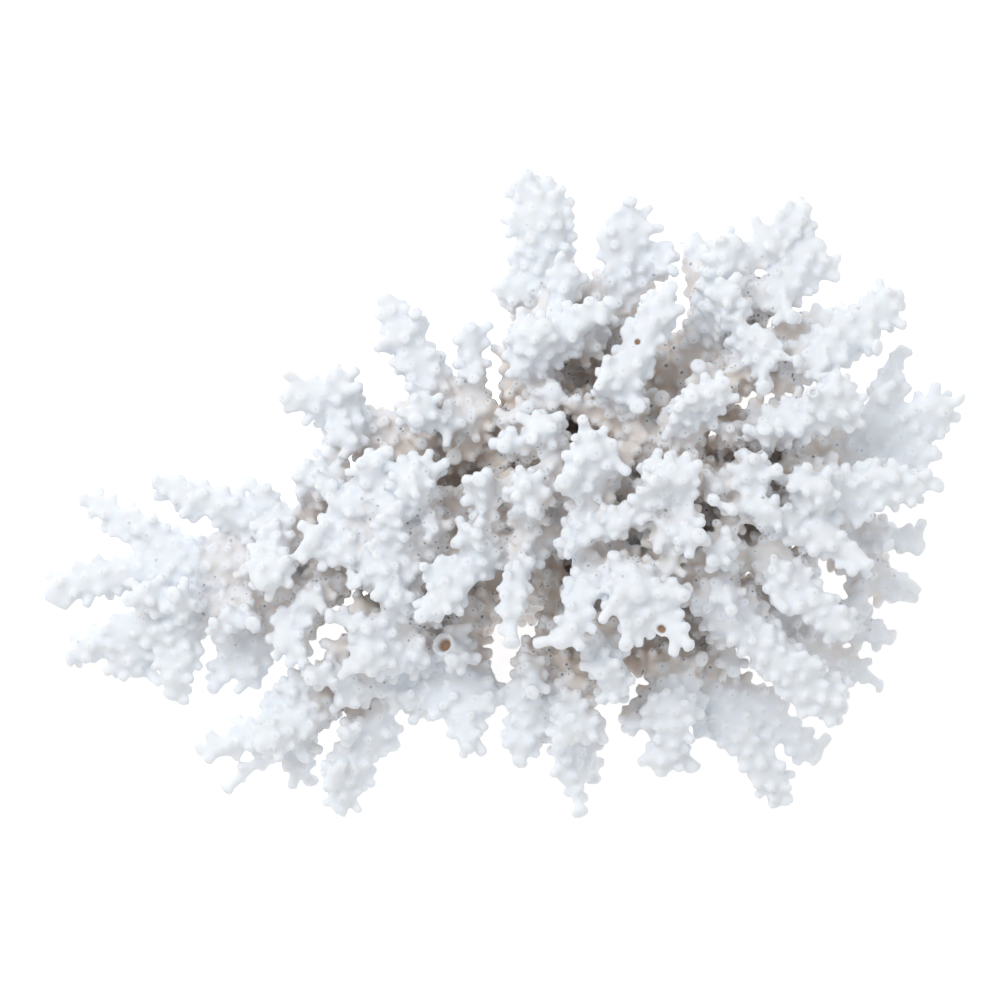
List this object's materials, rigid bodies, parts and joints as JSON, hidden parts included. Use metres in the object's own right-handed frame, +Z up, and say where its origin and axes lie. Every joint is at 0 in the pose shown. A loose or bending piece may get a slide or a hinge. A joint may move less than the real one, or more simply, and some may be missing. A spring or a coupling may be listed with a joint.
{
  "type": "branching coral",
  "caption": "Bleached branching coral colony, a spreading dome of stubby corallite-covered branches drawn out into a low lobe, cut flat at the foot to stand as a shelf ornament.",
  "frame": {"origin": "bottom centre of the colony's bounding box, on the plane of the flat cut it rests on", "axes": "+Z up from the cut; +X along the colony's long direction towards the dome end; +Y across it"},
  "size_m": [0.207, 0.1437, 0.0824],
  "materials": {
    "branch_skeleton": "matt sun-bleached porous aragonite, white",
    "limb_skeleton": "matt porous aragonite, sheltered from the sun, warm cream",
    "foot_skeleton": "matt dense aragonite, sawn flat underneath, cream to tan"
  },
  "bodies": {
    "root": {"foot": "foot_skeleton", "left_limb": "limb_skeleton", "lower_left_limb": "limb_skeleton", "upper_left_limb": "limb_skeleton", "back_limb": "limb_skeleton", "upper_right_limb": "limb_skeleton", "right_limb": "limb_skeleton", "lower_right_limb": "limb_skeleton", "front_limb": "limb_skeleton", "crown_limb": "limb_skeleton", "far_left_branch": "branch_skeleton", "upper_left_edge_branch": "branch_skeleton", "left_crest_branch": "branch_skeleton", "left_fan_branch": "branch_skeleton", "left_fork_branch": "branch_skeleton", "lower_left_tip_branch": "branch_skeleton", "lower_left_drooping_branch": "branch_skeleton", "lower_left_crown_branch": "branch_skeleton", "lower_left_inner_branch": "branch_skeleton", "left_crown_branch": "branch_skeleton", "middle_left_crest_branch": "branch_skeleton", "left_finger_branch": "branch_skeleton", "upper_left_low_branch": "branch_skeleton", "upper_left_outer_branch": "branch_skeleton", "upper_left_rising_branch": "branch_skeleton", "left_shoulder_branch": "branch_skeleton", "left_summit_branch": "branch_skeleton", "middle_branch": "branch_skeleton", "middle_starburst_branch": "branch_skeleton", "summit_branch": "branch_skeleton", "right_summit_branch": "branch_skeleton", "front_summit_branch": "branch_skeleton", "front_branch": "branch_skeleton", "front_left_branch": "branch_skeleton", "front_inner_branch": "branch_skeleton", "front_right_branch": "branch_skeleton", "lower_right_branch": "branch_skeleton", "lower_right_drooping_branch": "branch_skeleton", "lower_right_low_branch": "branch_skeleton", "right_fore_branch": "branch_skeleton", "right_low_branch": "branch_skeleton", "right_crest_branch": "branch_skeleton", "right_starburst_branch": "branch_skeleton", "right_branch": "branch_skeleton", "right_edge_branch": "branch_skeleton", "upper_right_crest_branch": "branch_skeleton", "upper_right_branch": "branch_skeleton", "middle_right_branch": "branch_skeleton", "upper_middle_branch": "branch_skeleton", "upper_crown_branch": "branch_skeleton", "back_column_branch": "branch_skeleton", "back_branch": "branch_skeleton", "back_right_branch": "branch_skeleton", "back_right_edge_branch": "branch_skeleton"}
  },
  "joints": []
}
